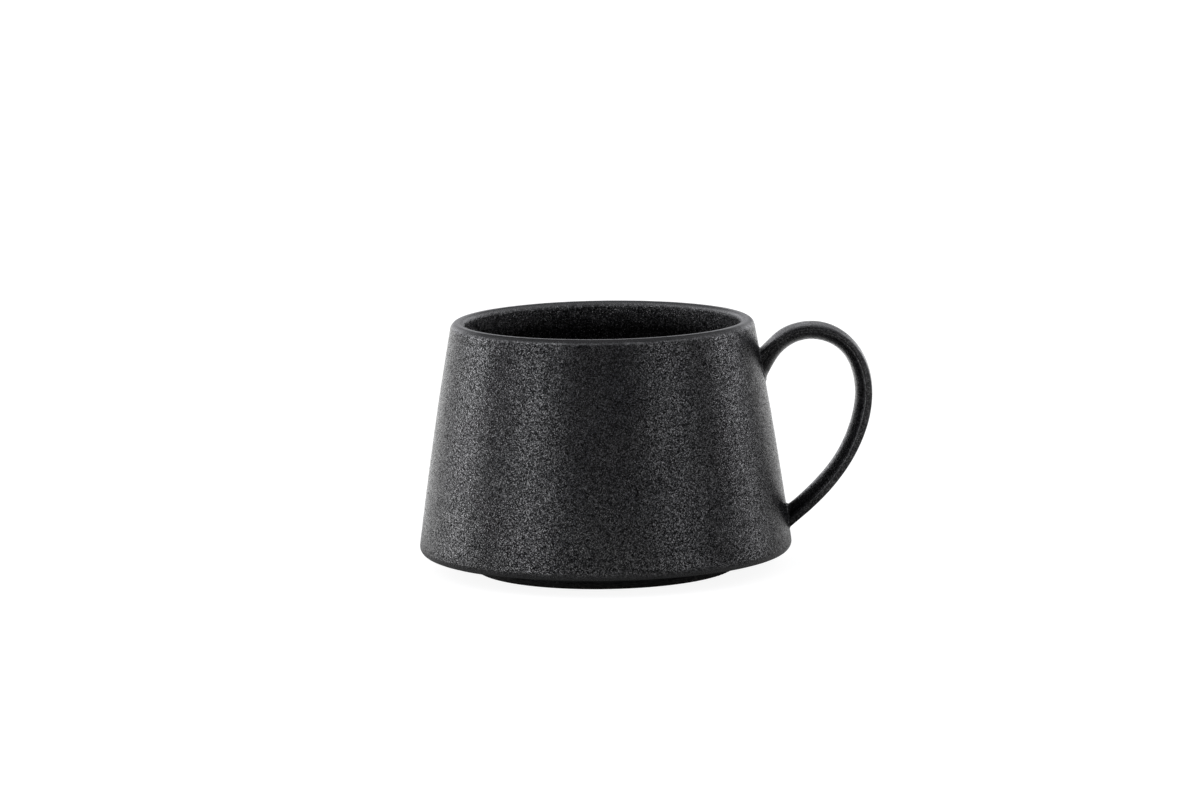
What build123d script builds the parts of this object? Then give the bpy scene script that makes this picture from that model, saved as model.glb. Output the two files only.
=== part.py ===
from build123d import *
import math
import os

# Stoneware mug: a wide-based cup that narrows towards the rim, with a turned
# foot ring and a slim strap handle luted on at two points.
#
# Frame: +Z up, origin at the centre of the foot ring's contact plane, the cup's
# axis on Z, the handle on the +X side in the XZ plane.  All sizes in mm.

# ---------------------------------------------------------------- cup dimensions
HEIGHT = 67.0            # foot contact plane to rim crest
RIM_R = 40.45            # outer radius at the rim
HEEL_R = 50.27           # outer radius where wall and shelf meet, before rounding
HEEL_Z = 4.6             # height of the shelf underneath the heel
HEEL_ROUND = 1.9         # rounding between wall and shelf
WALL_BOW = 0.45          # outward bow of both wall faces at mid height

RIM_WALL = 3.7           # wall thickness at the rim
RIM_INNER_R = RIM_R - RIM_WALL
RIM_ROUND_OUT = 2.0      # outer rounding of the lip
RIM_ROUND_IN = 1.5       # inner rounding of the lip

INNER_HEEL_R = 46.9      # inner radius at the floor, before rounding
FLOOR_Z = 8.2            # inside floor
FLOOR_ROUND = 9.0        # rounding between inside wall and floor

FOOT_R = 35.2            # outer radius of the foot ring at the contact plane
FOOT_R_TOP = 35.45       # outer radius of the foot ring at the shelf
FOOT_BORE_R = 31.0       # inner radius of the foot ring at the contact plane
FOOT_BORE_R_TOP = 30.4   # inner radius of the foot ring at the recess
FOOT_EDGE = 0.6          # softened edges of the foot ring
FOOT_NECK = 0.7          # small cove between foot ring and shelf
RECESS_Z = 3.6           # depth of the turned recess under the floor
RECESS_ROUND = 1.2       # rounding between recess and foot ring

# ---------------------------------------------------------------- glaze dimensions
GLAZE = 0.25             # fired thickness of the glaze on the cup
STRAP_GLAZE = 0.20       # fired thickness of the glaze on the strap
WIPED_Z = 1.5            # foot is wiped bare of glaze below this height
RIM_SPLIT = 1.6          # inner edge of the lip to where the two coats meet

# The zones that split the coat overshoot it by these amounts.
ZONE_ABOVE_RIM = 3.0
ZONE_BELOW_FOOT = 1.0
RECESS_ZONE_DROP = 2.5   # top of the recess zone, below the inside floor

# ---------------------------------------------------------------- handle dimensions
STRAP_WIDTH = 10.0       # strap width across the handle plane
STRAP_CROWN = 0.30       # bow of the strap's outer face
STRAP_ARRIS = 0.45       # rounding of the strap's outer edges
STRAP_LAND = 0.47        # share of the thickness, from the outer face, before the inner crown
STRAP_CROWN_MAX = 3.6    # deepest inner crown, where the strap flares

LUTE_GAP = 0.40          # slip layer between strap end and clay wall
LUTE_GROW = 2.0          # how far the slip spreads around the strap at the wall
LUTE_TAPER = 0.12        # how far it still stands proud where it runs out

# Strap stations from the upper joint to the lower joint, two to a line.  Each is
# the pair (outer face x, z), (inner face x, z) in the handle plane.
STRAP = [
    ((40.10, 56.91), (42.22, 47.52)), ((41.59, 57.97), (44.39, 52.02)),
    ((43.42, 59.63), (46.66, 55.93)), ((47.20, 62.95), (49.77, 59.05)),
    ((52.87, 65.18), (53.78, 60.73)), ((59.25, 65.11), (58.10, 60.65)),
    ((64.71, 62.61), (62.11, 58.98)), ((68.82, 58.35), (65.11, 55.85)),
    ((71.24, 53.17), (66.77, 51.87)), ((72.14, 47.89), (67.45, 47.61)),
    ((71.90, 42.72), (67.22, 43.28)), ((70.78, 37.75), (66.29, 39.04)),
    ((69.03, 33.09), (64.84, 34.95)), ((66.83, 28.75), (62.90, 31.04)),
    ((64.13, 24.65), (60.53, 27.37)), ((61.16, 20.92), (57.74, 23.97)),
    ((57.89, 17.48), (54.66, 20.80)), ((54.45, 14.32), (51.40, 17.86)),
    ((50.90, 11.38), (47.97, 15.13)), ((47.41, 8.47), (44.53, 12.40)),
]

# Short collars of slip around each joint, from the strap's end station to the
# station just outside the wall where the slip runs out onto the strap.
UPPER_COLLAR = [STRAP[0], ((42.33, 58.64), (45.30, 53.64))]
LOWER_COLLAR = [STRAP[-1], ((51.60, 11.96), (50.02, 16.80))]

CORNER_TOLERANCE = 0.02  # for finding a section's corner by its position
MIN_VOLUME = 0.5         # smaller boolean slivers are left out, mm3


# ---------------------------------------------------------------- section helpers
# Cup sections are drawn in the XZ plane from (radius, z) points.
def polyline(*points):
    return [Edge.make_line((r0, 0, z0), (r1, 0, z1))
            for (r0, z0), (r1, z1) in zip(points, points[1:])]


def arc(*points):
    """Arc through three (radius, z) points."""
    return Edge.make_three_point_arc(*[Vector(r, 0, z) for r, z in points])


def region(edges, rounds=()):
    """Face inside the edges, with each ((radius, z), rounding) corner filleted in turn."""
    face = Face(Wire(edges))
    for (r, z), rounding in rounds:
        corner = [v for v in face.vertices()
                  if abs(v.X - r) < CORNER_TOLERANCE and abs(v.Z - z) < CORNER_TOLERANCE]
        face = face.fillet_2d(rounding, corner)
    return face


def largest_face(shape):
    return max(shape.faces(), key=lambda face: face.area)


def spin(face):
    return revolve(face, axis=Axis.Z, revolution_arc=360)


# ---------------------------------------------------------------- cup sections
def outer_wall(offset):
    """Bowed wall arc from heel to rim, moved outwards by offset."""
    return arc((HEEL_R + offset, HEEL_Z - offset),
               ((HEEL_R + RIM_R) / 2 + WALL_BOW + offset, (HEEL_Z + HEIGHT) / 2),
               (RIM_R + offset, HEIGHT + offset))


def inner_wall(inset):
    """Bowed inside wall arc from rim to floor, moved into the wall by inset."""
    return arc((RIM_INNER_R + inset, HEIGHT - inset),
               ((RIM_INNER_R + INNER_HEEL_R) / 2 + WALL_BOW + inset, (FLOOR_Z + HEIGHT) / 2),
               (INNER_HEEL_R + inset, FLOOR_Z - inset))


def cup_section(inset, foot):
    """Half section of the cup, its surface moved inwards by inset.

    foot lists the points of the foot ring from the recess to the shelf; its
    contact edges are not inset.
    """
    recess_corner = (FOOT_BORE_R_TOP + inset, RECESS_Z + inset)
    neck = (FOOT_R_TOP - inset, HEEL_Z + inset)
    heel = (HEEL_R - inset, HEEL_Z + inset)
    rim_outer = (RIM_R - inset, HEIGHT - inset)
    rim_inner = (RIM_INNER_R + inset, HEIGHT - inset)
    floor_corner = (INNER_HEEL_R + inset, FLOOR_Z - inset)
    recess_centre = (0, RECESS_Z + inset)
    floor_centre = (0, FLOOR_Z - inset)

    edges = [
        *polyline(recess_centre, recess_corner, *foot, neck, heel),
        outer_wall(-inset),
        *polyline(rim_outer, rim_inner),
        inner_wall(inset),
        *polyline(floor_corner, floor_centre, recess_centre),
    ]
    return region(edges, [
        (recess_corner, RECESS_ROUND + inset),
        ((FOOT_BORE_R, 0), FOOT_EDGE),
        ((FOOT_R, 0), FOOT_EDGE),
        (neck, FOOT_NECK + inset),
        (heel, HEEL_ROUND - inset),
        (rim_outer, RIM_ROUND_OUT - inset),
        (rim_inner, RIM_ROUND_IN - inset),
        (floor_corner, FLOOR_ROUND + inset),
    ])


def glazed_section():
    return cup_section(0, [(FOOT_BORE_R, 0), (FOOT_R, 0)])


def clay_section():
    """The cup less its glaze, stepping out to full size at the wiped foot."""
    bore = FOOT_BORE_R + (FOOT_BORE_R_TOP - FOOT_BORE_R) * WIPED_Z / RECESS_Z
    ring = FOOT_R + (FOOT_R_TOP - FOOT_R) * WIPED_Z / HEEL_Z
    return cup_section(GLAZE, [
        (bore + GLAZE, WIPED_Z), (bore, WIPED_Z), (FOOT_BORE_R, 0),
        (FOOT_R, 0), (ring, WIPED_Z), (ring - GLAZE, WIPED_Z),
    ])


def inner_zone():
    """Zone that takes in the coat inside the cup, up to the split on the lip."""
    split_r = RIM_INNER_R + RIM_SPLIT
    bottom = FLOOR_Z - RIM_SPLIT
    top = HEIGHT + ZONE_ABOVE_RIM
    return region([
        inner_wall(RIM_SPLIT),
        *polyline((INNER_HEEL_R + RIM_SPLIT, bottom), (0, bottom), (0, top),
                  (split_r, top), (split_r, HEIGHT - RIM_SPLIT)),
    ])


def recess_zone():
    """Zone that takes in the coat underneath, out to the middle of the foot ring."""
    radius = (FOOT_R + FOOT_BORE_R) / 2
    bottom = -ZONE_BELOW_FOOT
    top = FLOOR_Z - RECESS_ZONE_DROP
    return region(polyline((0, bottom), (radius, bottom), (radius, top), (0, top), (0, bottom)))


def plug(offset):
    """Solid with the cup's outer shape, moved outwards by offset."""
    top = HEIGHT + offset
    bottom = HEEL_Z - offset
    return spin(region([
        outer_wall(offset),
        *polyline((RIM_R + offset, top), (0, top), (0, bottom), (HEEL_R + offset, bottom)),
    ]))


# ---------------------------------------------------------------- strap
def strap_wire(outer, inner, grow):
    """Closed strap section, grown all round: bowed outer face, softened outer
    edges, narrow flat edges and a crowned inner face."""
    outer_point = Vector(outer[0], 0, outer[1])
    inner_point = Vector(inner[0], 0, inner[1])
    outward = (outer_point - inner_point).normalized()
    centre = (outer_point + inner_point) * 0.5
    across = Vector(0, 1, 0)

    thickness = (outer_point - inner_point).length + 2 * grow
    face = thickness / 2
    side = STRAP_WIDTH / 2 + grow
    shoulder = face - STRAP_CROWN
    arris_end = shoulder - STRAP_ARRIS
    land_end = face - max(STRAP_LAND * thickness, thickness - STRAP_CROWN_MAX)
    flat_side = side - STRAP_ARRIS
    arris_cut = STRAP_ARRIS * (1 - math.sqrt(0.5))

    def at(out, sideways):
        return centre + outward * out + across * sideways

    def bend(*places):
        return Edge.make_three_point_arc(*[at(*place) for place in places])

    return Wire([
        bend((shoulder, -flat_side), (face, 0), (shoulder, flat_side)),
        bend((shoulder, flat_side), (shoulder - arris_cut, side - arris_cut), (arris_end, side)),
        Edge.make_line(at(arris_end, side), at(land_end, side)),
        bend((land_end, side), (-face, 0), (land_end, -side)),
        Edge.make_line(at(land_end, -side), at(arris_end, -side)),
        bend((arris_end, -side), (shoulder - arris_cut, arris_cut - side),
             (shoulder, -flat_side)),
    ])


def strap_solid(stations, grows):
    """Loft through the stations, each grown by its own amount."""
    return Solid.make_loft([strap_wire(outer, inner, grow)
                            for (outer, inner), grow in zip(stations, grows)])


def collar(stations):
    return strap_solid(stations, [LUTE_GROW, LUTE_TAPER])


# ---------------------------------------------------------------- pieces
def cup_pieces(upper_collar, lower_collar):
    """Clay body and its coat, split at the lip and at the wiped foot."""
    clay = clay_section()
    coat = glazed_section() - clay
    inside = inner_zone()
    underneath = recess_zone()
    exterior = spin(largest_face((coat - inside) - underneath))
    return {
        "mug_body": spin(clay),
        "exterior_glaze": (exterior - upper_collar) - lower_collar,
        "interior_glaze": spin(largest_face(coat & inside)),
        "foot_recess_glaze": spin(largest_face(coat & underneath)),
    }


def handle_pieces(upper_collar, lower_collar):
    """Clay strap, its glaze and the slip that joins both ends to the wall."""
    clay_plug = plug(-GLAZE)
    lute_plug = plug(LUTE_GAP - GLAZE)
    strap_outer = strap_solid(STRAP, [0.0] * len(STRAP))
    strap_clay = strap_solid(STRAP, [-STRAP_GLAZE] * len(STRAP))
    strap_cut = strap_outer - lute_plug
    return {
        "handle": strap_clay - lute_plug,
        "handle_glaze": strap_cut - strap_clay,
        "upper_handle_slip": (upper_collar - clay_plug) - strap_cut,
        "lower_handle_slip": (lower_collar - clay_plug) - strap_cut,
    }


def without_slivers(shape):
    solids = [solid for solid in shape.solids() if solid.volume > MIN_VOLUME]
    return solids[0] if len(solids) == 1 else Compound(children=solids)


# ---------------------------------------------------------------- output
collars = (collar(UPPER_COLLAR), collar(LOWER_COLLAR))
pieces = {**cup_pieces(*collars), **handle_pieces(*collars)}

os.makedirs("parts", exist_ok=True)
for name, shape in pieces.items():
    piece = without_slivers(shape)
    piece.label = name
    export_step(piece, f"parts/{name}.step")
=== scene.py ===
import math

import bpy
import numpy as np
from mathutils import Matrix, Vector, noise


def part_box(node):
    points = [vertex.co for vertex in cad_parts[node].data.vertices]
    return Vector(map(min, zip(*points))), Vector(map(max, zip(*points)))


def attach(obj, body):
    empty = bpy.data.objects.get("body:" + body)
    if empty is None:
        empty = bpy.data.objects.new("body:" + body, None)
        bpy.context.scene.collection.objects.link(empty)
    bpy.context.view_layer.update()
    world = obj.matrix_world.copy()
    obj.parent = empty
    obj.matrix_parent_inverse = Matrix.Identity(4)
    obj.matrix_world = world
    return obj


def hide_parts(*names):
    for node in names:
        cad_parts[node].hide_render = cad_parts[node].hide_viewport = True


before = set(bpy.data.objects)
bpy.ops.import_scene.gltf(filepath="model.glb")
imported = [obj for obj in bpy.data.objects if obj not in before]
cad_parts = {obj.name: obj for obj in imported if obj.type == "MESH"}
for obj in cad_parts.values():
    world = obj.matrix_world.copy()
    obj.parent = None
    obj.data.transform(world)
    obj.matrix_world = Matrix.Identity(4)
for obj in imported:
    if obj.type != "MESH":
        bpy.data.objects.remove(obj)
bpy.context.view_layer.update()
MM = 0.001

# ------------------------------------------------------------------ sizes
COAT = 0.25                 # glaze on the cup
STRAP_COAT = 0.20           # glaze on the strap
OVERLAP = 0.01              # a coat's hidden side stops this short of its full depth

low_corner, high_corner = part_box("exterior_glaze")
HEIGHT = high_corner[2] / MM
HEEL_R = high_corner[1] / MM + 0.265
FLOOR_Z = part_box("interior_glaze")[0][2] / MM + COAT
low_corner, high_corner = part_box("handle_glaze")
STRAP_WIDTH = (high_corner[1] - low_corner[1]) / MM

RIM_R = 40.45
RIM_WALL = 3.7
INNER_RIM_R = RIM_R - RIM_WALL
SPLIT_R = INNER_RIM_R + 1.87    # where the outer and inner coats meet on the rim
HEEL_Z = 4.6
FOOT_R = 35.2
WIPED_Z = 1.5               # the outer coat starts here
INNER_FLOOR_R = 46.9        # inner wall and floor, before rounding
BOW = 0.45                  # outward swell at mid height
SEGMENTS = 480

# ------------------------------------------------------------------ finish
GRAIN_PER_MM = 4.7          # grains across a millimetre
PIT_SHARE = 0.24            # share of grains that are pits
PIT_DEPTH = 0.07            # mm
GRAIN_RELIEF = 0.031        # mm
GLAZE_ROUGH = 0.20
GRAIN_TONE = (0.06, 0.83)   # least tone of a grain, and the mean spread above it
GRAIN_GLOSS = (0.03, 0.315)     # the same for gloss
# Painted light and shade on the lining, as tone and gloss at three places: brighter at the lip,
# darkest just below it, evening out towards the floor.
LINING_BELOW_LIP, LINING_LIP, LINING_FLOOR = 0.22, 1.7, 0.60
GLAZE_COOL = (0.0108, 0.0110, 0.0124, 1)
GLAZE_WARM = (0.0122, 0.0120, 0.0126, 1)
SPECK = (0.060, 0.060, 0.062, 1)
# paler glaze where it thins over edges, partly a painted highlight on lips, seams and beads
PALE_EDGE_AND_HIGHLIGHT = (0.150, 0.150, 0.153, 1)


# ------------------------------------------------------------------ helpers
def link(obj):
    bpy.context.scene.collection.objects.link(obj)
    return obj


def make_mesh(name, verts, quads, edge, grain, material, tris=(), normals=None):
    """Smooth object from millimetre points, with its edge attribute (paler edges, painted
    highlights and painted shade) and its grain attribute.
    """
    me = bpy.data.meshes.new(name)
    faces = [tuple(int(i) for i in face) for face in [*quads, *tris]]
    me.from_pydata([tuple(v) for v in (np.asarray(verts) * MM)], [], faces)
    me.validate()
    me.update()
    me.polygons.foreach_set("use_smooth", [True] * len(me.polygons))
    for key, values in (("edge", edge), ("grain", grain)):
        attribute = me.attributes.new(key, "FLOAT", "POINT")
        attribute.data.foreach_set("value", np.asarray(values, dtype=np.float32))
    if normals is not None:
        me.normals_split_custom_set_from_vertices([tuple(n) for n in normals])
    me.materials.append(material)
    return link(bpy.data.objects.new(name, me))


def unit(v):
    return v / np.maximum(np.linalg.norm(v, axis=-1, keepdims=True), 1e-12)


def smoothstep(x, start, end):
    t = np.clip((x - start) / (end - start), 0, 1)
    return t * t * (3 - 2 * t)


def bell(x, width):
    return np.exp(-(x / width) ** 2)


def wobble(points, size, octaves, seed):
    """Smooth noise, about -1 to 1, at a feature size in mm."""
    out = np.empty(len(points))
    scale = 1.0 / size
    for i, (x, y, z) in enumerate(points):
        q = Vector((x * scale + seed, y * scale - seed * 0.7, z * scale + seed * 1.3))
        out[i] = noise.noise(q)
        if octaves > 1:
            out[i] += 0.5 * noise.noise(q * 2.03)
    return out


def band(ring, next_ring, flip=False):
    """Quads between two closed rings of vertex numbers."""
    quads = np.stack([ring, np.roll(ring, -1), np.roll(next_ring, -1), next_ring], 1)
    return quads[:, [0, 3, 2, 1]] if flip else quads


def faces_inwards(verts, quad, outward):
    a, b, c = verts[quad[:3]]
    return np.cross(b - a, c - a) @ outward < 0


# ------------------------------------------------------------------ cup profile
def rounded_profile(corners, step, arc_step=0.22):
    """Profile in (r, z) through corners of (r, z, rounding radius).

    Also gives a weight that rises to 1 in the middle of each rounded corner."""
    points = [np.array(c[:2], float) for c in corners]
    profile, weight = [points[0]], [0.0]

    def run_to(target):
        start = profile[-1]
        n = max(1, int(math.ceil(np.linalg.norm(target - start) / step)))
        for i in range(1, n + 1):
            profile.append(start + (target - start) * i / n)
            weight.append(0.0)

    for i in range(1, len(points) - 1):
        radius = corners[i][2]
        back, ahead = unit(points[i - 1] - points[i]), unit(points[i + 1] - points[i])
        half = math.acos(float(np.clip(back @ ahead, -1, 1))) / 2
        cut = radius / math.tan(half)
        centre = points[i] + unit(back + ahead) * (radius / math.sin(half))
        first, last = points[i] + back * cut, points[i] + ahead * cut
        run_to(first)
        start_angle = math.atan2(*(first - centre)[::-1])
        end_angle = math.atan2(*(last - centre)[::-1])
        turn = (end_angle - start_angle + math.pi) % (2 * math.pi) - math.pi
        n = max(4, int(math.ceil(abs(turn) * radius / arc_step)))
        for j in range(1, n + 1):
            angle = start_angle + turn * j / n
            profile.append(centre + radius * np.array([math.cos(angle), math.sin(angle)]))
            weight.append(math.sin(math.pi * j / n))
    run_to(points[-1])
    return np.array(profile), np.array(weight)


def profile_normals(profile):
    d = np.gradient(profile, axis=0)
    return unit(np.stack([d[:, 1], -d[:, 0]], 1))


def bow(t):
    return BOW * 4 * t * (1 - t)


def bowed(profile, z_low, z_high):
    """Swell the wall part of a profile between two heights."""
    t = np.clip((profile[:, 1] - z_low) / (z_high - z_low), 0, 1)
    profile = profile.copy()
    profile[:, 0] += np.where(profile[:, 0] > 30, bow(t), 0)
    return profile


def wall_radius(z):
    """Outer radius of the cup wall."""
    t = (z - HEEL_Z) / (HEIGHT - HEEL_Z)
    return HEEL_R + (RIM_R - HEEL_R) * t + bow(t)


# ------------------------------------------------------------------ cup coats
def undulation(points):
    """Relief of the fired coat in mm: slow pooling, orange peel, faint throwing lines."""
    slow = wobble(points, size=17.0, octaves=1, seed=3.1) * 0.035
    peel = wobble(points, size=3.4, octaves=2, seed=11.7) * 0.016
    z = points[:, 2]
    rings = 0.008 * np.sin(z * 1.55 + 0.9 * np.sin(z * 0.31)) * (z < HEIGHT - 3)
    return slow + peel + rings


def turned(profile):
    """Spin (r, z) rows about Z into a grid of (segment, profile point)."""
    angle = np.arange(SEGMENTS)[:, None] * 2 * math.pi / SEGMENTS
    x, y = profile[:, 0] * np.cos(angle), profile[:, 0] * np.sin(angle)
    return np.stack([x, y, np.broadcast_to(profile[:, 1], x.shape)], -1)


def shell(name, profile, edge, grain, material, pole=False):
    """Closed turned shell: the visible side carries the relief, the hidden one meets the clay.

    With pole set, the profile ends on the axis and each side closes in a fan."""
    flat_normals = profile_normals(profile)
    behind = profile - flat_normals * (COAT - OVERLAP)
    if pole:
        profile[-1, 0] = behind[-1, 0] = 0.0
    front, back, spun = turned(profile), turned(behind), turned(flat_normals)
    relief = undulation(front.reshape(-1, 3)).reshape(front.shape[:2])
    if pole:
        relief[:, -1] = relief[:, -1].mean()
    front = front + spun * relief[..., None]

    # shading normals from the relief surface's own differences
    around = np.roll(front, -1, 0) - np.roll(front, 1, 0)
    normals = np.cross(around, np.gradient(front, axis=1))
    normals *= np.sign((normals * spun).sum(-1, keepdims=True) + 1e-12)
    normals = unit(normals)
    if pole:
        normals[:, -2] = unit(normals[:, -2] * 0.3 + spun[:, -2])

    rings = len(profile) - 1 if pole else len(profile)
    count = SEGMENTS * rings
    verts = [g[:, :rings].reshape(-1, 3) for g in (front, back)]
    norms = [g[:, :rings].reshape(-1, 3) for g in (normals, -spun)]
    edges = [np.tile(edge[:rings], SEGMENTS), np.zeros(count)]
    grains = [np.tile(grain[:rings], SEGMENTS), np.ones(count)]
    seen = np.arange(count).reshape(SEGMENTS, rings)
    hidden = seen + count
    quads = []
    for j in range(rings - 1):
        quads.append(band(seen[:, j], seen[:, j + 1]))
        quads.append(band(hidden[:, j], hidden[:, j + 1], flip=True))
    quads.append(band(seen[:, 0], hidden[:, 0], flip=True))
    tris = np.zeros((0, 3), int)
    if pole:
        verts.append([front[:, -1].mean(0), back[:, -1].mean(0)])
        norms.append([spun[0, -1], -spun[0, -1]])
        edges.append([0, 0])
        grains.append([1, 1])
        inner, outer = seen[:, -1], hidden[:, -1]
        front_tip, back_tip = np.full(SEGMENTS, 2 * count), np.full(SEGMENTS, 2 * count + 1)
        tris = np.concatenate([np.stack([inner, np.roll(inner, -1), front_tip], 1),
                               np.stack([np.roll(outer, -1), outer, back_tip], 1)])
    else:
        quads.append(band(seen[:, -1], hidden[:, -1]))
    verts, norms, quads = np.concatenate(verts), np.concatenate(norms), np.concatenate(quads)
    if faces_inwards(verts, quads[0], norms[quads[0][0]]):
        quads, tris = quads[:, ::-1], tris[:, ::-1]
    return make_mesh(name, verts, quads, np.concatenate(edges), np.concatenate(grains),
                     material, tris, norms)


# Painted lines round the outside under the lip, a lighter highlight line and a darker shade
# line: depth below the top, width, edge weight.
LIP_HIGHLIGHT_AND_SHADE_LINES = ((1.0, 0.20, 0.34), (0.50, 0.18, -0.40))
RIM_DULL = 0.16             # edge weight taken off the top of the rim
RIM_TOP = HEIGHT - 0.3      # everything above this is the top of the rim
SMOOTH_GRAIN = 0.08         # grain left on the smooth rim and heel


def exterior_coat():
    profile, corner = rounded_profile(
        [(FOOT_R + 0.08, WIPED_Z, 0), (FOOT_R + COAT, HEEL_Z, 0.7), (HEEL_R, HEEL_Z, 1.9),
         (RIM_R, HEIGHT, 2.0), (SPLIT_R, HEIGHT, 0)], step=0.8)
    profile = bowed(profile, HEEL_Z, HEIGHT)
    r, z = profile.T
    # weights of the rounded rim, and of the heel beyond r = 45: paler glaze over the roundings,
    # partly a painted highlight
    edge = np.where(z > HEIGHT - 4, 0.02 * corner - RIM_DULL * (z > RIM_TOP),
                    0.07 * corner * (r > 45))
    # painted highlight line and painted shade line under the lip
    for depth, width, weight in LIP_HIGHLIGHT_AND_SHADE_LINES:
        edge = edge + weight * bell(z - HEIGHT + depth, width)
    grainy = np.clip((HEIGHT - 0.35 - z) / 0.7, 0, 1) * np.clip((z - 4.6) / 2.2, 0, 1)
    return shell("exterior_coat", profile, edge,
                 SMOOTH_GRAIN + (1 - SMOOTH_GRAIN) * grainy, GLAZE)


def interior_coat():
    profile, corner = rounded_profile(
        [(SPLIT_R, HEIGHT, 0), (INNER_RIM_R, HEIGHT, 1.5), (INNER_FLOOR_R, FLOOR_Z, 9.0),
         (0.0, FLOOR_Z, 0)], step=0.9)
    profile = bowed(profile, FLOOR_Z, HEIGHT)
    z = profile[:, 1]
    # paler inner rounding of the rim, partly a painted highlight; its top is darkened by
    # RIM_DULL
    edge = np.where(z > HEIGHT - 3, 0.06 * corner - RIM_DULL * (z > RIM_TOP), 0)
    grainy = np.clip((HEIGHT - 0.4 - z) / 1.2, 0, 1)
    return shell("interior_coat", profile, edge,
                 SMOOTH_GRAIN + (1 - SMOOTH_GRAIN) * grainy, INSIDE_GLAZE, pole=True)


# ------------------------------------------------------------------ materials
class Net:
    """Clears the node tree of a material or world and builds a new one."""

    def __init__(self, owner):
        owner.use_nodes = True
        self.tree = owner.node_tree
        self.tree.nodes.clear()

    def node(self, kind, **props):
        n = self.tree.nodes.new(kind)
        for key, value in props.items():
            setattr(n, key, value)
        return n

    def put(self, value, socket):
        if isinstance(value, bpy.types.NodeSocket):
            self.tree.links.new(value, socket)
        else:
            socket.default_value = value

    def math(self, op, a, b=0.0, clamp=False):
        n = self.node("ShaderNodeMath", operation=op, use_clamp=clamp)
        self.put(a, n.inputs[0])
        self.put(b, n.inputs[1])
        return n.outputs[0]

    def times(self, a, b, clamp=False):
        return self.math("MULTIPLY", a, b, clamp)

    def noise(self, vector, scale, detail, rough):
        n = self.node("ShaderNodeTexNoise")
        for key, value in (("Vector", vector), ("Scale", scale), ("Detail", detail),
                           ("Roughness", rough), ("Distortion", 0.0)):
            self.put(value, n.inputs[key])
        return n.outputs["Fac"]

    def cells(self, vector, scale):
        """Distance within each Voronoi cell, and three random values for the cell."""
        cell = self.node("ShaderNodeTexVoronoi", feature="F1")
        self.put(vector, cell.inputs["Vector"])
        self.put(scale, cell.inputs["Scale"])
        split = self.node("ShaderNodeSeparateColor")
        self.put(cell.outputs["Color"], split.inputs["Color"])
        return cell.outputs["Distance"], split.outputs

    def remap(self, value, span, to=(0.0, 1.0), **props):
        n = self.node("ShaderNodeMapRange", **props)
        self.put(value, n.inputs["Value"])
        for key, limit in zip(("From Min", "From Max", "To Min", "To Max"), (*span, *to)):
            self.put(limit, n.inputs[key])
        return n.outputs["Result"]

    def mix(self, fac, a, b):
        n = self.node("ShaderNodeMix", data_type="RGBA")
        self.put(fac, n.inputs["Factor"])
        self.put(a, n.inputs["A"])
        self.put(b, n.inputs["B"])
        return n.outputs["Result"]

    def blend(self, fac, low, high):
        n = self.node("ShaderNodeMix", data_type="FLOAT")
        self.put(fac, n.inputs["Factor"])
        self.put(low, n.inputs[2])
        self.put(high, n.inputs[3])
        return n.outputs[0]

    def attr(self, name):
        n = self.node("ShaderNodeAttribute", attribute_name=name, attribute_type="GEOMETRY")
        return n.outputs["Fac"]

    def bump(self, height, distance):
        n = self.node("ShaderNodeBump")
        n.inputs["Strength"].default_value = 1.0
        n.inputs["Distance"].default_value = distance
        self.put(height, n.inputs["Height"])
        return n

    def falloff(self, vector, direction, sharpness):
        """1 along a direction, falling away exponentially around it."""
        dot = self.node("ShaderNodeVectorMath", operation="DOT_PRODUCT")
        self.put(vector, dot.inputs[0])
        dot.inputs[1].default_value = direction
        short = self.math("SUBTRACT", dot.outputs["Value"], 1.0)
        return self.math("EXPONENT", self.times(short, sharpness))

    def dial(self, name, value):
        n = self.node("ShaderNodeValue", name=name, label=name)
        n.outputs[0].default_value = value
        return n.outputs[0]

    def camera_switch(self, others, camera, output):
        """Show one shader to camera rays and another to all other rays."""
        path = self.node("ShaderNodeLightPath")
        both = self.node("ShaderNodeMixShader")
        self.put(path.outputs["Is Camera Ray"], both.inputs[0])
        self.put(others.outputs[0], both.inputs[1])
        self.put(camera.outputs[0], both.inputs[2])
        self.put(both.outputs[0], output.inputs["Surface"])


def surface_material(name):
    """Material, its net and Principled shader, and object coordinates in mm."""
    mat = bpy.data.materials.new(name)
    k = Net(mat)
    out = k.node("ShaderNodeOutputMaterial")
    bsdf = k.node("ShaderNodeBsdfPrincipled")
    k.put(bsdf.outputs["BSDF"], out.inputs["Surface"])
    coords = k.node("ShaderNodeTexCoord")
    mapping = k.node("ShaderNodeMapping")
    mapping.inputs["Scale"].default_value = (1 / MM,) * 3
    k.put(coords.outputs["Object"], mapping.inputs["Vector"])
    return mat, k, bsdf, mapping.outputs["Vector"]


def lining_painted_light(k, v):
    """Painted light and shade on the lining: brighter at the lip, darker and duller below it,
    evening out towards the floor.
    """
    split = k.node("ShaderNodeSeparateXYZ")
    k.put(v, split.inputs[0])
    z = split.outputs["Z"]
    upper = k.remap(z, span=(59.5, 65.5), to=(LINING_BELOW_LIP, LINING_LIP))
    lower = k.remap(z, span=(40.0, 57.0), to=(LINING_FLOOR, LINING_BELOW_LIP))
    return k.math("MAXIMUM", upper, lower)


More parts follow.
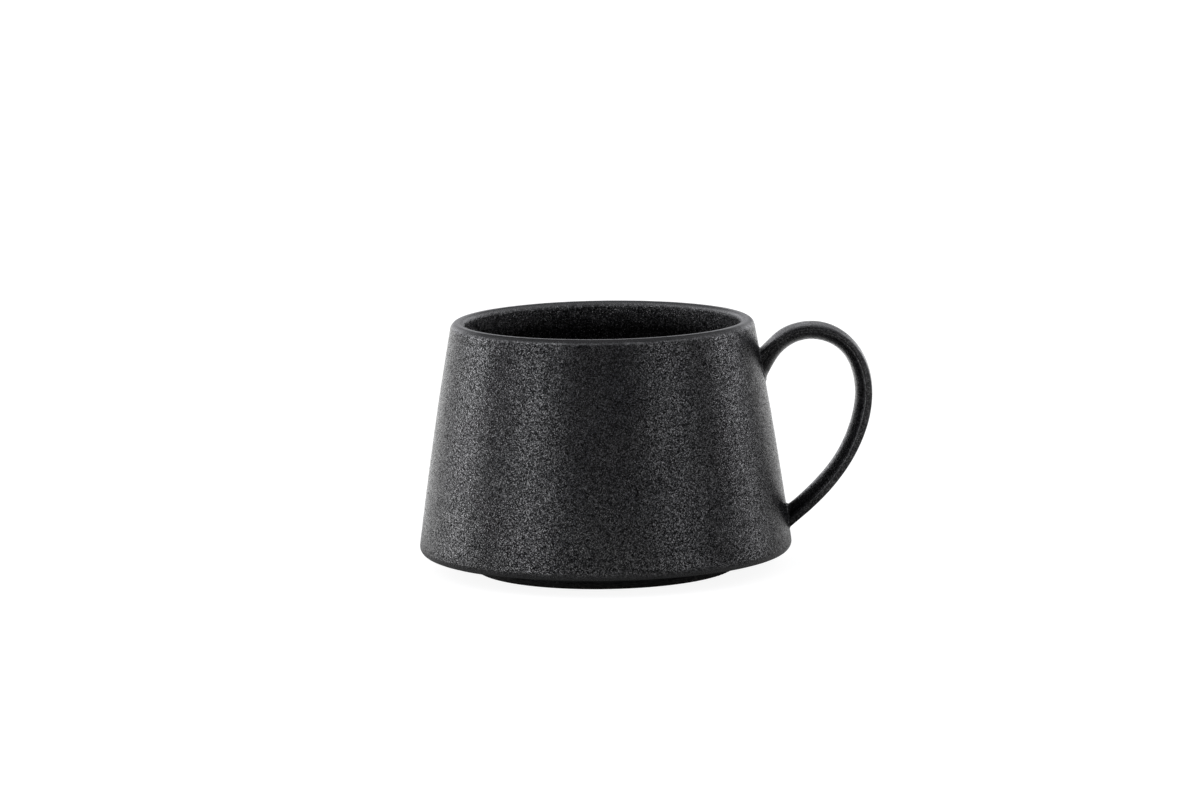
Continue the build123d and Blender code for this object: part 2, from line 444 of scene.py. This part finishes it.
def glaze_material(name, grain_amount=1.0, use_attr=True, lift=1.0, rough=0.0, tooth=1.0,
                   vary=3.8, lining=False):
    """Matt black glaze: sub-millimetre grains, each with its own tone, gloss and tilt.

    lift scales the tone, rough adds to the roughness, tooth scales the grain relief, and
    a higher vary makes bright grains rarer and brighter."""
    mat, k, bsdf, v = surface_material(name)
    edge, grainy = 0.0, grain_amount
    if use_attr:
        edge = k.attr("edge")
        grainy = k.times(k.attr("grain"), grain_amount)

    # some grains are sunken pits, the rest a semi-matt plateau
    distance, (grain_tone, grain_gloss, grain_pick) = k.cells(v, GRAIN_PER_MM)
    fine = k.noise(v, scale=3.4, detail=2.0, rough=0.6)
    mid = k.noise(v, scale=0.55, detail=2.0, rough=0.5)
    cloud = k.noise(v, scale=0.075, detail=3.0, rough=0.55)
    pit_span = (PIT_SHARE - 0.04, PIT_SHARE + 0.04)
    pit = k.times(k.remap(grain_pick, span=pit_span, to=(1.0, 0.0)), grainy, clamp=True)

    def per_grain(random_value, limits, ungrained, in_pit):
        """Level that varies by grain; vary reshapes its spread and keeps the mean."""
        least, spread = limits
        power = k.math("POWER", random_value, vary)
        varied = k.remap(power, span=(0.0, 1.0), to=(least, least + spread * (vary + 1)))
        level = k.blend(grainy, low=ungrained, high=varied)
        return k.times(level, k.blend(pit, low=1.0, high=in_pit))

    # colour: each grain's tone, slow clouds of a browner or bluer black, rare pale specks
    level = per_grain(grain_tone, GRAIN_TONE, ungrained=0.9, in_pit=0.20)
    level = k.times(level, lift)
    # a negative edge weight darkens tone and gloss: painted shade at the strap roots, on the
    # slip collars and in a line under the lip; it also darkens the top of the rim and thin lines
    # on the strap
    painted_shade = k.remap(edge, span=(-1.0, 0.0), to=(0.15, 1.0)) if use_attr else 1.0
    level = k.times(level, painted_shade)
    # painted light and shade down the lining, in tone here and in gloss below
    if lining:
        depth = lining_painted_light(k, v)
        level = k.times(level, depth)
    level = k.times(level, k.remap(cloud, span=(0.32, 0.68), to=(0.86, 1.14)))
    level = k.times(level, k.remap(mid, span=(0.3, 0.7), to=(0.93, 1.07)))
    tint = k.mix(k.remap(cloud, span=(0.36, 0.64)), GLAZE_COOL, GLAZE_WARM)
    shade = k.node("ShaderNodeVectorMath", operation="SCALE")
    k.put(tint, shade.inputs[0])
    k.put(level, shade.inputs["Scale"])
    speck = k.times(k.remap(grain_pick, span=(0.975, 0.99), to=(0.0, 0.8)), grainy, clamp=True)
    speckled = k.mix(speck, shade.outputs[0], SPECK)
    # positive edge weights mix in the paler edge colour: thin glaze over edges, partly a painted
    # highlight
    pale_edge_and_highlight = k.times(edge, k.remap(mid, span=(0.35, 0.65), to=(0.45, 1.0)), clamp=True)
    k.put(k.mix(pale_edge_and_highlight, speckled, PALE_EDGE_AND_HIGHLIGHT), bsdf.inputs["Base Color"])

    # gloss: plateaus catch the light, pits swallow it
    bsdf.inputs["IOR"].default_value = 1.62
    gloss = per_grain(grain_gloss, GRAIN_GLOSS, ungrained=0.36, in_pit=0.10)
    # the painted shade dulls the gloss as well
    gloss = k.times(gloss, painted_shade)
    # the lining's painted light and shade scale the gloss too
    if lining:
        gloss = k.times(gloss, depth)
    k.put(gloss, bsdf.inputs["Specular IOR Level"])
    base = GLAZE_ROUGH + rough
    roughness = k.math("ADD", k.remap(fine, span=(0.3, 0.7), to=(base - 0.04, base + 0.05)),
                       k.remap(mid, span=(0.3, 0.7), to=(-0.02, 0.02)))
    rougher_pits, smoother_edges = 0.25, 0.04
    roughness = k.math("ADD", roughness, k.times(pit, rougher_pits))
    roughness = k.math("SUBTRACT", roughness, k.times(edge, smoother_edges))
    k.put(roughness, bsdf.inputs["Roughness"])

    # relief: orange peel, then the pits, then the faint tooth of each grain
    dome_fall, dome_share = 1.6, 0.5    # slope of a grain's dome, and its part in the tooth
    dome = k.math("SUBTRACT", 1.0, k.times(distance, dome_fall))
    height = k.times(k.times(dome, pit), -PIT_DEPTH)
    rise = k.times(k.math("ADD", fine, k.times(dome, dome_share)), GRAIN_RELIEF * tooth)
    height = k.math("ADD", height, k.times(rise, grainy))
    peel = k.bump(mid, distance=0.00005)
    bump = k.bump(height, distance=MM)
    k.put(peel.outputs["Normal"], bump.inputs["Normal"])
    k.put(bump.outputs["Normal"], bsdf.inputs["Normal"])
    return mat


def clay_material(name):
    """Dark stoneware with pale and black sand in it."""
    mat, k, bsdf, v = surface_material(name)
    cloud = k.noise(v, scale=0.12, detail=3.0, rough=0.6)
    distance, sand = k.cells(v, scale=2.6)
    base = k.mix(k.remap(cloud, span=(0.3, 0.7)),
                 (0.008, 0.0077, 0.0073, 1), (0.015, 0.0142, 0.0132, 1))
    for pick, span, amount, colour in (
            (sand[0], (0.80, 0.90), 0.6, (0.034, 0.031, 0.028, 1)),
            (sand[1], (0.93, 0.97), 0.8, (0.004, 0.0038, 0.0035, 1))):
        base = k.mix(k.remap(pick, span, to=(0.0, amount)), base, colour)
    k.put(base, bsdf.inputs["Base Color"])
    bsdf.inputs["Specular IOR Level"].default_value = 0.3
    fine = k.noise(v, scale=3.2, detail=3.0, rough=0.6)
    k.put(k.remap(fine, span=(0.3, 0.7), to=(0.72, 0.92)), bsdf.inputs["Roughness"])
    sand_relief = 0.5
    height = k.math("SUBTRACT", fine, k.times(distance, sand_relief))
    k.put(k.bump(height, distance=0.00010).outputs["Normal"], bsdf.inputs["Normal"])
    return mat


GLAZE = glaze_material("granular_glaze")
# darker copy of the glaze for the inside (painted shade), which also carries the lining's
# painted light and shade
INSIDE_GLAZE = glaze_material("granular_glaze_inside", lift=0.8, rough=0.06, tooth=7.0,
                              vary=5.0, lining=True)
STRAP_GLAZE = glaze_material("granular_glaze_strap", grain_amount=0.7)
PLAIN_GLAZE = glaze_material("granular_glaze_recess", use_attr=False)
CLAY = clay_material("dark_stoneware")

exterior = exterior_coat()
interior = interior_coat()

# ------------------------------------------------------------------ strap
# Stations from the upper joint to the lower: outer face (x, z), finger side (x, z).
STRAP = np.array([
    ((40.10, 56.91), (42.22, 47.52)), ((41.59, 57.97), (44.39, 52.02)),
    ((43.42, 59.63), (46.66, 55.93)), ((47.20, 62.95), (49.77, 59.05)),
    ((52.87, 65.18), (53.78, 60.73)), ((59.25, 65.11), (58.10, 60.65)),
    ((64.71, 62.61), (62.11, 58.98)), ((68.82, 58.35), (65.11, 55.85)),
    ((71.24, 53.17), (66.77, 51.87)), ((72.14, 47.89), (67.45, 47.61)),
    ((71.90, 42.72), (67.22, 43.28)), ((70.78, 37.75), (66.29, 39.04)),
    ((69.03, 33.09), (64.84, 34.95)), ((66.83, 28.75), (62.90, 31.04)),
    ((64.13, 24.65), (60.53, 27.37)), ((61.16, 20.92), (57.74, 23.97)),
    ((57.89, 17.48), (54.66, 20.80)), ((54.45, 14.32), (51.40, 17.86)),
    ((50.90, 11.38), (47.97, 15.13)), ((47.41, 8.47), (44.53, 12.40)),
])


class Spline:
    """Natural cubic spline through points at given distances."""

    def __init__(self, distances, points):
        self.distances, self.points = distances, points
        n = len(distances)
        h = np.diff(distances)
        system = np.eye(n)
        target = np.zeros((n, points.shape[1]))
        for i in range(1, n - 1):
            system[i, i - 1:i + 2] = h[i - 1], 2 * (h[i - 1] + h[i]), h[i]
            target[i] = 6 * ((points[i + 1] - points[i]) / h[i]
                             - (points[i] - points[i - 1]) / h[i - 1])
        self.bend = np.linalg.solve(system, target)

    def __call__(self, x):
        i = np.clip(np.searchsorted(self.distances, x) - 1, 0, len(self.distances) - 2)
        h = (self.distances[i + 1] - self.distances[i])[:, None]
        a = (self.distances[i + 1] - x)[:, None] / h
        b = (x - self.distances[i])[:, None] / h
        return (a * self.points[i] + b * self.points[i + 1]
                + ((a ** 3 - a) * self.bend[i] + (b ** 3 - b) * self.bend[i + 1]) * h * h / 6)


middle = (STRAP[:, 0] + STRAP[:, 1]) / 2
chord = np.concatenate([[0], np.cumsum(np.linalg.norm(np.diff(middle, axis=0), axis=1))])
spine = Spline(chord, STRAP.reshape(len(STRAP), 4))
LENGTH = chord[-1]

CROWN = 0.30                # bow of the outer face
ARRIS_R = 0.45              # rounding between the outer face and the flat edges
FINGER_FULL = 1.75          # 2 is an ellipse, more is squarer
# Where the section's points fall on each part; the turn is in degrees, 90 to just above -90.
CROWN_STEPS = (0.0, .05, .1, .17, .25, .33, .42, .5, .58, .67, .75, .83, .9, .95)
ARRIS_STEPS = (0, .25, .5, .75)
LAND_STEPS = [i / 38 for i in range(38)]
HALF_TURN = [90 - 1.5 * i for i in range(13)] + [
    69, 65.5, 62, 58, 54, 49.5, 45, 40, 34, 28, 21, 14, 7]
TURN_STEPS = HALF_TURN + [0] + [-a for a in HALF_TURN[:0:-1]]

BEAD_LOW, BEAD_RISE = 0.05, 0.17    # least height of the edge bead, and the rise above it
# Fine ridges on the flat edge: depth from the outer arris, height, width.
PULLED = ((0.26, 0.080, 0.10), (0.62, 0.075, 0.11), (0.98, 0.060, 0.11), (1.34, 0.050, 0.12))


def arc_through(start, via, end, steps):
    """Points at the given fractions of the arc through three points."""
    (ax, ay), (bx, by), (cx, cy) = start, via, end
    d = 2 * (ax * (by - cy) + bx * (cy - ay) + cx * (ay - by))
    a2, b2, c2 = ax**2 + ay**2, bx**2 + by**2, cx**2 + cy**2
    x = (a2 * (by - cy) + b2 * (cy - ay) + c2 * (ay - by)) / d
    y = (a2 * (cx - bx) + b2 * (ax - cx) + c2 * (bx - ax)) / d
    r = math.hypot(ax - x, ay - y)
    first, mid, last = (math.atan2(py - y, px - x) for px, py in (start, via, end))
    sweep = (last - first) % (2 * math.pi)
    if not ((mid - first) % (2 * math.pi)) < sweep:
        sweep -= 2 * math.pi
    return [(x + r * math.cos(first + sweep * q), y + r * math.sin(first + sweep * q))
            for q in steps]


def straight(start, end, steps):
    start, end = np.array(start), np.array(end)
    return [tuple(start + (end - start) * q) for q in steps]


def strap_section(thickness, grow, low):
    """Section loop in (u outwards, v across): bowed outer face, flat edges and a full
    rounded finger side.  low moves the lower end of the flat edges inwards.

    Also gives u of the two ends of the flat edge, and half the width."""
    top, half = thickness / 2 + grow, STRAP_WIDTH / 2 + grow
    full = 2 * top
    land = max(0.34 * full, full - 4.2) + low
    shoulder = top - CROWN
    knee = ARRIS_R * (1 - math.sqrt(0.5))
    flat_top, flat_end = shoulder - ARRIS_R, top - land
    points = arc_through((shoulder, -half + ARRIS_R), (top, 0), (shoulder, half - ARRIS_R),
                         CROWN_STEPS)
    points += arc_through((shoulder, half - ARRIS_R), (shoulder - knee, half - knee),
                          (flat_top, half), ARRIS_STEPS)
    points += straight((flat_top, half), (flat_end, half), LAND_STEPS)
    for angle in TURN_STEPS:
        across = math.sin(math.radians(angle))
        reach = max(0.0, 1 - abs(across) ** FINGER_FULL) ** (1 / FINGER_FULL)
        points.append((flat_end - (full - land) * reach, half * across))
    points += straight((flat_end, -half), (flat_top, -half), LAND_STEPS)
    points += arc_through((flat_top, -half), (shoulder - knee, -half + knee),
                          (shoulder, -half + ARRIS_R), ARRIS_STEPS)
    return np.array(points), flat_end, shoulder - ARRIS_R * 0.5, half


def strap_stations(distances, grow=0.0):
    """Distance, centre, outward direction and section at each station."""
    for s, station in zip(distances, spine(distances)):
        outer, inner = station[:2], station[2:]
        thickness = np.linalg.norm(outer - inner)
        low = 0.22 * math.exp(-((s / LENGTH - 0.60) / 0.09) ** 2)
        yield (s, (outer + inner) / 2, (outer - inner) / thickness,
               strap_section(thickness, grow, low))


def placed(loop, centre, outward):
    u, v = loop.T
    return np.stack([centre[0] + outward[0] * u, v, centre[1] + outward[1] * u], 1)


def plain_rows(distances, grow=0.0):
    return np.array([placed(section[0], centre, outward)
                     for _, centre, outward, section in strap_stations(distances, grow)])


def bead_height(s, seed):
    """Height in mm of the glaze beading along an arris, at distance s along it."""
    fine = noise.noise(Vector((s * 1.55, seed, 0.0)))
    slow = noise.noise(Vector((s * 0.42, seed, 5.0)))
    return BEAD_LOW + BEAD_RISE * max(0.0, min(1.0, 0.40 + 1.8 * fine)) * (0.75 + 0.5 * slow)


def section_relief(s, section):
    """Section loop with beads and pulled lines on it, and its edge weights: paler beads, arris
    and ridges (thin glaze, partly a painted highlight), thin dark lines, and painted shade near
    both roots.
    """
    loop, flat_end, outer_arris, half = section
    along = s / LENGTH
    side = np.abs(np.abs(loop[:, 1]) - half)
    sign = np.where(loop[:, 1] > 0, 1.0, -1.0)
    # the bead sits just below the flat edge, where the finger side starts to turn
    on_bead = bell(np.hypot(loop[:, 0] - (flat_end - 0.40), np.minimum(side, 3.0)), 0.24)
    outer_side = np.minimum(np.abs(np.abs(loop[:, 1]) - half + 0.1), 3.0)
    on_arris = bell(np.hypot(loop[:, 0] - outer_arris, outer_side), 0.32)
    height = np.where(sign < 0, bead_height(s, 0.0), bead_height(s, 40.0))
    amount = height * on_bead * (0.3 + 0.7 * smoothstep(along, 0.22, 0.45))
    loop[:, 1] += sign * amount * 0.80
    loop[:, 0] -= amount * 0.30

    # pulled lines: fine ridges on the flat edge, dying out towards the lower joint
    lines = 0.0
    on_land = bell(side, 0.06)
    fade = smoothstep(along, 0.02, 0.10) * (1 - 0.8 * smoothstep(along, 0.34, 0.66))
    depth = (outer_arris - 0.22) - loop[:, 0]
    for i, (offset, tall, width) in enumerate(PULLED):
        uneven = 0.75 + 0.6 * noise.noise(Vector((s * 0.55, 7.0 * i, 3.3)))
        shift = 0.10 * noise.noise(Vector((s * 0.16, 11.0 * i, 8.1)))
        line = fade * uneven * bell(depth - offset - shift, width) * on_land
        loop[:, 1] += sign * tall * line
        # the ridges are made paler too: thin glaze over them, partly a painted highlight
        lines = lines + 0.10 * line
    # thin dark lines: two along the flat edge, one in the turn behind the bead
    for u, dark in ((1.32, 0.50 * (1 - smoothstep(along, 0.16, 0.34))), (0.60, 0.75)):
        lines = lines - dark * fade * on_land * bell(loop[:, 0] - u, 0.18)
    u = flat_end - 0.80 - 0.50 * smoothstep(along, 0.20, 0.50)
    lines = lines - 0.50 * bell(loop[:, 0] - u, 0.28) * (np.abs(loop[:, 1]) > half - 2.5)

    bead = np.clip((height - BEAD_LOW) / BEAD_RISE, 0, 1)
    # painted shade: the strap is darkened towards both roots
    root_shade = 1 - smoothstep(along, 0.03, 0.13) + smoothstep(along, 0.80, 0.97)
    # the beads and the outer arris are made paler: thin glaze over them, partly a painted
    # highlight
    pale_edge_and_highlight = on_bead * (0.35 + 0.65 * bead) * (0.25 + 0.75 * smoothstep(along, 0.28, 0.46))
    return loop, np.clip(pale_edge_and_highlight + 0.24 * on_arris + lines - 0.75 * root_shade, -1, 1)


def relief_rows(distances):
    rows, edges = [], []
    for s, centre, outward, section in strap_stations(distances):
        loop, edge = section_relief(s, section)
        rows.append(placed(loop, centre, outward))
        edges.append(edge)
    return np.array(rows), np.array(edges)


def with_peel(rows):
    """Push the rows in and out along their normals by orange peel and slow pooling."""
    normals = unit(np.cross(np.gradient(rows, axis=0),
                            np.roll(rows, -1, 1) - np.roll(rows, 1, 1)))
    if ((rows - rows.mean(1, keepdims=True)) * normals).sum(-1).mean() < 0:
        normals = -normals
    points = rows.reshape(-1, 3)
    peel = (wobble(points, size=2.6, octaves=2, seed=5.5) * 0.014
            + wobble(points, size=11.0, octaves=1, seed=9.5) * 0.045)
    return rows + normals * peel.reshape(*rows.shape[:2], 1)


def strap_coat():
    """Closed sleeve: a fine outer side and a coarser hidden side, joined at both ends."""
    start = chord[0] + 0.35 * (chord[1] - chord[0])
    end = chord[-2] + 0.60 * (chord[-1] - chord[-2])
    outer, edge = relief_rows(np.linspace(start, end, 520))
    outer = with_peel(outer)
    inner = plain_rows(np.linspace(start, end, 66), -STRAP_COAT + OVERLAP)

    verts = np.concatenate([outer.reshape(-1, 3), inner.reshape(-1, 3)])
    seen = np.arange(edge.size).reshape(edge.shape)
    hidden = np.arange(edge.size, len(verts)).reshape(inner.shape[:2])
    quads = [band(a, b) for a, b in zip(seen, seen[1:])]
    quads += [band(a, b, flip=True) for a, b in zip(hidden, hidden[1:])]
    quads += [band(seen[0], hidden[0], flip=True), band(seen[-1], hidden[-1])]
    quads = np.concatenate(quads)
    half_way = len(outer) // 2
    sample = quads[outer.shape[1] * half_way]
    if faces_inwards(verts, sample, verts[sample[0]] - outer[half_way].mean(0)):
        quads = quads[:, ::-1]
    weights = np.concatenate([edge.reshape(-1), np.zeros(hidden.size)])
    return make_mesh("strap_coat", verts, quads, weights, np.ones(len(verts)), STRAP_GLAZE)


strap = strap_coat()

# ------------------------------------------------------------------ luted joints
EXTRA_SPREAD, EXTRA_CLIMB = 0.55, 0.75      # added to the fillet on the finger side
COLLAR_INSET = 0.15         # how far the collar's back lies inside the strap
COLLAR_SINK = 0.2           # how far it lies inside the wall


def wall_crossings(rows, direction):
    """Row position in each column where the strap passes through the cup wall."""
    clear = np.hypot(rows[..., 0], rows[..., 1]) - wall_radius(rows[..., 2])
    crossings = []
    for gap in clear.T:
        changes = np.where((gap[:-1] <= 0) != (gap[1:] <= 0))[0]
        i = changes[0] if len(changes) else (0 if direction > 0 else len(rows) - 2)
        f = gap[i] / (gap[i] - gap[i + 1]) if gap[i] != gap[i + 1] else 0.0
        crossings.append(i + np.clip(f, 0, 1))
    return np.array(crossings)


def on_strap(rows, column, row):
    """Point of the strap at a fractional column and row."""
    row = np.clip(row, 0, len(rows) - 1.001)
    i, j = int(row), int(column)
    pair = [rows[i, c % rows.shape[1]] * (1 - (row - i))
            + rows[i + 1, c % rows.shape[1]] * (row - i) for c in (j, j + 1)]
    return pair[0] * (1 - (column - j)) + pair[1] * (column - j)


def wall_normal(point):
    slope = wall_radius(point[2] + 0.5) - wall_radius(point[2] - 0.5)
    flat = unit(np.array([point[0], point[1], 0.0]))
    return unit(np.array([flat[0], flat[1], -slope]))


def collar_ring(corner, up, centre, spread, lump):
    """One section of the collar, from the wall over the fillet to the strap and back."""
    normal = wall_normal(corner)
    away = corner - centre
    away = unit(away - (away @ normal) * normal)
    foot = corner + away * spread
    foot[:2] *= wall_radius(foot[2]) / math.hypot(foot[0], foot[1])
    out = unit(away + normal)
    pull = corner - out * 0.10
    ring, edge = [], []
    for t in np.linspace(0, 1, 15):
        q = (1 - t) ** 2 * foot + 2 * t * (1 - t) * pull + t * t * up
        bead = 0.20 * lump * math.exp(-((t - 0.42) / 0.17) ** 2)
        ring.append(q + out * (0.03 * math.sin(math.pi * t) + bead))
        # paler beads on the collar: thin glaze over them, partly a painted highlight
        edge.append(min(1.0, bead * 4.5))
    # close the ring inside strap and wall
    inward = unit(centre - up + normal * ((up - centre) @ normal)) * COLLAR_INSET
    ring += [up + inward, corner + inward - normal * COLLAR_SINK, foot - normal * COLLAR_SINK]
    return ring, edge + [0, 0, 0]


def joint(name, start, end, direction, seed):
    """Collar of slip: a concave fillet between strap and wall, with a beaded face.

    direction is +1 where the strap leaves the wall along its length, -1 where it returns."""
    distances = np.linspace(start, end, 160)
    step = distances[1] - distances[0]
    rows = plain_rows(distances)
    columns = rows.shape[1]
    crossings = wall_crossings(rows, direction)
    base = np.array([on_strap(rows, i, crossings[i]) for i in range(columns)])

    # resample the line where strap and wall meet evenly
    closed = np.vstack([base, base[:1]])
    travel = np.concatenate([[0], np.cumsum(np.linalg.norm(np.diff(closed, axis=0), axis=1))])
    girth = travel[-1]
    count = max(200, int(girth / 0.11))
    where = np.linspace(0, girth, count, endpoint=False)
    column = np.interp(where, travel, np.arange(columns + 1)) % columns
    crossing = np.interp(column, np.arange(columns + 1), np.append(crossings, crossings[0]))

    # the collar's unevenness is read round a circle of the same girth, so it closes
    angle = where / girth * 2 * np.pi
    around = np.stack([np.cos(angle), np.sin(angle), where * 0], 1) * girth / (2 * np.pi)
    spread = 0.62 + 0.12 * wobble(around, size=2.6, octaves=2, seed=seed)
    climb = 0.66 + 0.14 * wobble(around, size=3.3, octaves=2, seed=seed + 4)
    lumps = np.clip(0.5 + 1.5 * wobble(around, size=0.62, octaves=1, seed=seed + 9), 0, 1)

    centre = base.mean(0)
    z_high, z_low = base[:, 2].max(), base[:, 2].min()
    rings, edges = [], []
    for i in range(count):
        corner = on_strap(rows, column[i], crossing[i])
        # the slip is wiped fuller into the corner on the finger side
        below = -direction * (corner[2] - (z_high + z_low) / 2) / ((z_high - z_low) / 2)
        full = float(smoothstep(below, 0.2, 0.95))
        rise = (climb[i] + EXTRA_CLIMB * full) / step
        up = on_strap(rows, column[i], crossing[i] + direction * rise)
        ring, edge = collar_ring(corner, up, centre, spread[i] + EXTRA_SPREAD * full, lumps[i])
        rings.append(ring)
        edges.append(edge)
    rings, edges = np.array(rings), np.array(edges)
    # painted shade: the collar is darkened all over, the beads least
    edges = edges - 0.60 * (1 - edges)

    ids = np.arange(edges.size).reshape(edges.shape)
    ahead = np.roll(ids, -1, 0)
    quads = np.stack([ids, ahead, np.roll(ahead, -1, 1), np.roll(ids, -1, 1)], -1).reshape(-1, 4)
    verts = rings.reshape(-1, 3)
    sample = quads[6]
    if faces_inwards(verts, sample, verts[sample[0]] - rings[0].mean(0)):
        quads = quads[:, ::-1]
    return make_mesh(name, verts, quads, edges.reshape(-1), np.full(len(verts), 0.8),
                     STRAP_GLAZE)


upper = joint("upper_slip_collar", chord[0] + 0.2, chord[2] + 3.5, direction=+1, seed=2.0)
lower = joint("lower_slip_collar", chord[-4], chord[-1] - 0.2, direction=-1, seed=6.0)

# ------------------------------------------------------------------ frame
for piece, node in ((exterior, "exterior_glaze"), (interior, "interior_glaze"),
                    (strap, "handle_glaze"), (upper, "upper_handle_slip"),
                    (lower, "lower_handle_slip")):
    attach(piece, "root")
    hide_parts(node)

for node, mat in (("mug_body", CLAY), ("handle", CLAY), ("foot_recess_glaze", PLAIN_GLAZE)):
    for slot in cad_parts[node].material_slots:
        slot.material = mat

# ------------------------------------------------------------------ stage
# Soft patches of light on a studio dome: azimuth (0 on the camera's side, positive to its
# left), elevation, sharpness, strength.
LOBES = [
    (-180, 2, 55, 0.11), (-150, 2, 55, 2.53), (-105, 2, 55, 3.38), (-60, 2, 55, 1.02),
    (-45, 2, 55, 1.84), (0, 2, 55, 0.27), (15, 2, 55, 0.08), (45, 2, 55, 3.44),
    (60, 2, 55, 2.96), (105, 2, 55, 5.91), (120, 2, 55, 0.51), (150, 2, 55, 1.13),
    (165, 2, 55, 0.76), (-180, 17, 55, 0.89), (-165, 17, 55, 0.29), (-150, 17, 55, 1.09),
    (-105, 17, 55, 4.13), (-45, 17, 55, 1.21), (60, 17, 55, 0.47), (105, 17, 55, 3.08),
    (120, 17, 55, 2.96), (150, 17, 55, 1.9), (-120, 40, 16, 0.94), (-60, 40, 16, 1.17),
    (-30, 40, 16, 0.49), (0, 40, 16, 0.17), (60, 40, 16, 2.84), (120, 40, 16, 0.73),
    (0, 90, 6, 0.74),
]
# Light the floor returns to the mug: close by, then as azimuth, zone (0 the ring around
# the mug, 1 far out), strength.
BOUNCE_NEAR = 0.414
BOUNCE = [
    (-180, 0, 1.64), (-135, 0, 0.57), (-90, 0, 0.54), (-45, 0, 0.33),
    (0, 0, 1.47), (45, 0, 1.37), (90, 0, 1.75), (135, 0, 0.88),
    (-180, 1, 1.2), (-135, 1, 0.8), (90, 1, 0.49), (135, 1, 1.31),
]
BOUNCE_SHARPNESS = 7.0
# Distances from the axis over which the close, ring and far zones begin, in metres.
CLOSE_STARTS, RING_STARTS, FAR_STARTS = (0.040, 0.062), (0.06, 0.12), (0.25, 0.50)
FLOOR_WHITE, FLOOR_TAKE = 0.90, 0.25    # own brightness, and how much light shows on it
FLOOR_HALF = 12.0


def dome_direction(azimuth, elevation):
    a, e = math.radians(azimuth), math.radians(elevation)
    return (-math.sin(a) * math.cos(e), -math.cos(a) * math.cos(e), math.sin(e))


def floor_material():
    """Pale floor to the camera; to the mug, a glow that varies with place."""
    mat = bpy.data.materials.new("pale_floor")
    k = Net(mat)
    out = k.node("ShaderNodeOutputMaterial")
    pale = k.node("ShaderNodeBsdfDiffuse")
    position = k.node("ShaderNodeNewGeometry").outputs["Position"]
    cloud = k.noise(position, scale=3.0, detail=3.0, rough=0.5)
    dark, light = ((FLOOR_TAKE * f,) * 3 + (1,) for f in (0.96, 1.04))
    k.put(k.mix(cloud, dark, light), pale.inputs["Color"])
    white = k.node("ShaderNodeEmission")
    white.inputs["Strength"].default_value = FLOOR_WHITE
    seen = k.node("ShaderNodeAddShader")
    k.put(pale.outputs[0], seen.inputs[0])
    k.put(white.outputs[0], seen.inputs[1])

    length = k.node("ShaderNodeVectorMath", operation="LENGTH")
    k.put(position, length.inputs[0])
    ring, far, close = (
        k.remap(length.outputs["Value"], span, interpolation_type="SMOOTHSTEP")
        for span in (RING_STARTS, FAR_STARTS, CLOSE_STARTS))
    zones = (k.times(ring, k.math("SUBTRACT", 1.0, far)), far)
    total = k.times(k.dial("bounce_near", BOUNCE_NEAR),
                    k.times(close, k.math("SUBTRACT", 1.0, ring)))
    way = k.node("ShaderNodeVectorMath", operation="NORMALIZE")
    k.put(position, way.inputs[0])
    for i, (azimuth, zone, strength) in enumerate(BOUNCE):
        fall = k.falloff(way.outputs[0], dome_direction(azimuth, 0), BOUNCE_SHARPNESS)
        part = k.times(k.times(fall, zones[zone]), k.dial(f"bounce_{i}", strength))
        total = k.math("ADD", total, part)
    glow = k.node("ShaderNodeEmission")
    k.put(total, glow.inputs["Strength"])
    k.camera_switch(glow, seen, out)
    return mat


def make_floor():
    me = bpy.data.meshes.new("floor")
    f = FLOOR_HALF
    me.from_pydata([(-f, -f, 0), (f, -f, 0), (f, f, 0), (-f, f, 0)], [], [(0, 1, 2, 3)])
    me.materials.append(floor_material())
    return link(bpy.data.objects.new("floor", me))


def make_world():
    """The camera sees a plain pale sweep behind the floor; all else sees the lights."""
    world = bpy.data.worlds.new("studio")
    bpy.context.scene.world = world
    k = Net(world)
    out = k.node("ShaderNodeOutputWorld")
    lights = k.node("ShaderNodeBackground")
    lights.inputs["Color"].default_value = (0.99, 0.993, 1.03, 1)
    sweep = k.node("ShaderNodeBackground")
    sweep.inputs["Color"].default_value = (0.97, 0.97, 0.97, 1)
    k.camera_switch(lights, sweep, out)
    coords = k.node("ShaderNodeTexCoord")
    total = None
    for i, (azimuth, elevation, sharpness, strength) in enumerate(LOBES):
        direction = dome_direction(azimuth, elevation)
        fall = k.falloff(coords.outputs["Generated"], direction, sharpness)
        part = k.times(fall, k.dial(f"lobe_{i}", strength))
        total = part if total is None else k.math("ADD", total, part)
    k.put(total, lights.inputs["Strength"])


make_floor()
make_world()

# ------------------------------------------------------------------ camera
TARGET = np.array([-0.00095, 0.0, 0.045222])    # metres
ELEVATION, DISTANCE, ROLL = 0.1490, 1.4985, 0.0156      # radians, metres, radians
LENS, SENSOR = 167.52, 36.0                     # mm


def make_camera():
    back = np.array([0, -math.cos(ELEVATION), math.sin(ELEVATION)])
    level = np.array([1.0, 0, 0])
    rise = np.array([0, math.sin(ELEVATION), math.cos(ELEVATION)])
    right = math.cos(ROLL) * level - math.sin(ROLL) * rise
    up = math.sin(ROLL) * level + math.cos(ROLL) * rise
    data = bpy.data.cameras.new("camera")
    data.sensor_fit = "HORIZONTAL"
    data.sensor_width = SENSOR
    data.lens = LENS
    data.clip_start, data.clip_end = 0.05, 60
    camera = link(bpy.data.objects.new("camera", data))
    pose = Matrix.Identity(4)
    for column, axis in enumerate((right, up, back, TARGET + back * DISTANCE)):
        for row in range(3):
            pose[row][column] = axis[row]
    camera.matrix_world = pose
    bpy.context.scene.camera = camera


make_camera()
view = bpy.context.scene.view_settings
view.view_transform = "Standard"
view.look = "None"
view.exposure = 0.0

bpy.context.view_layer.update()
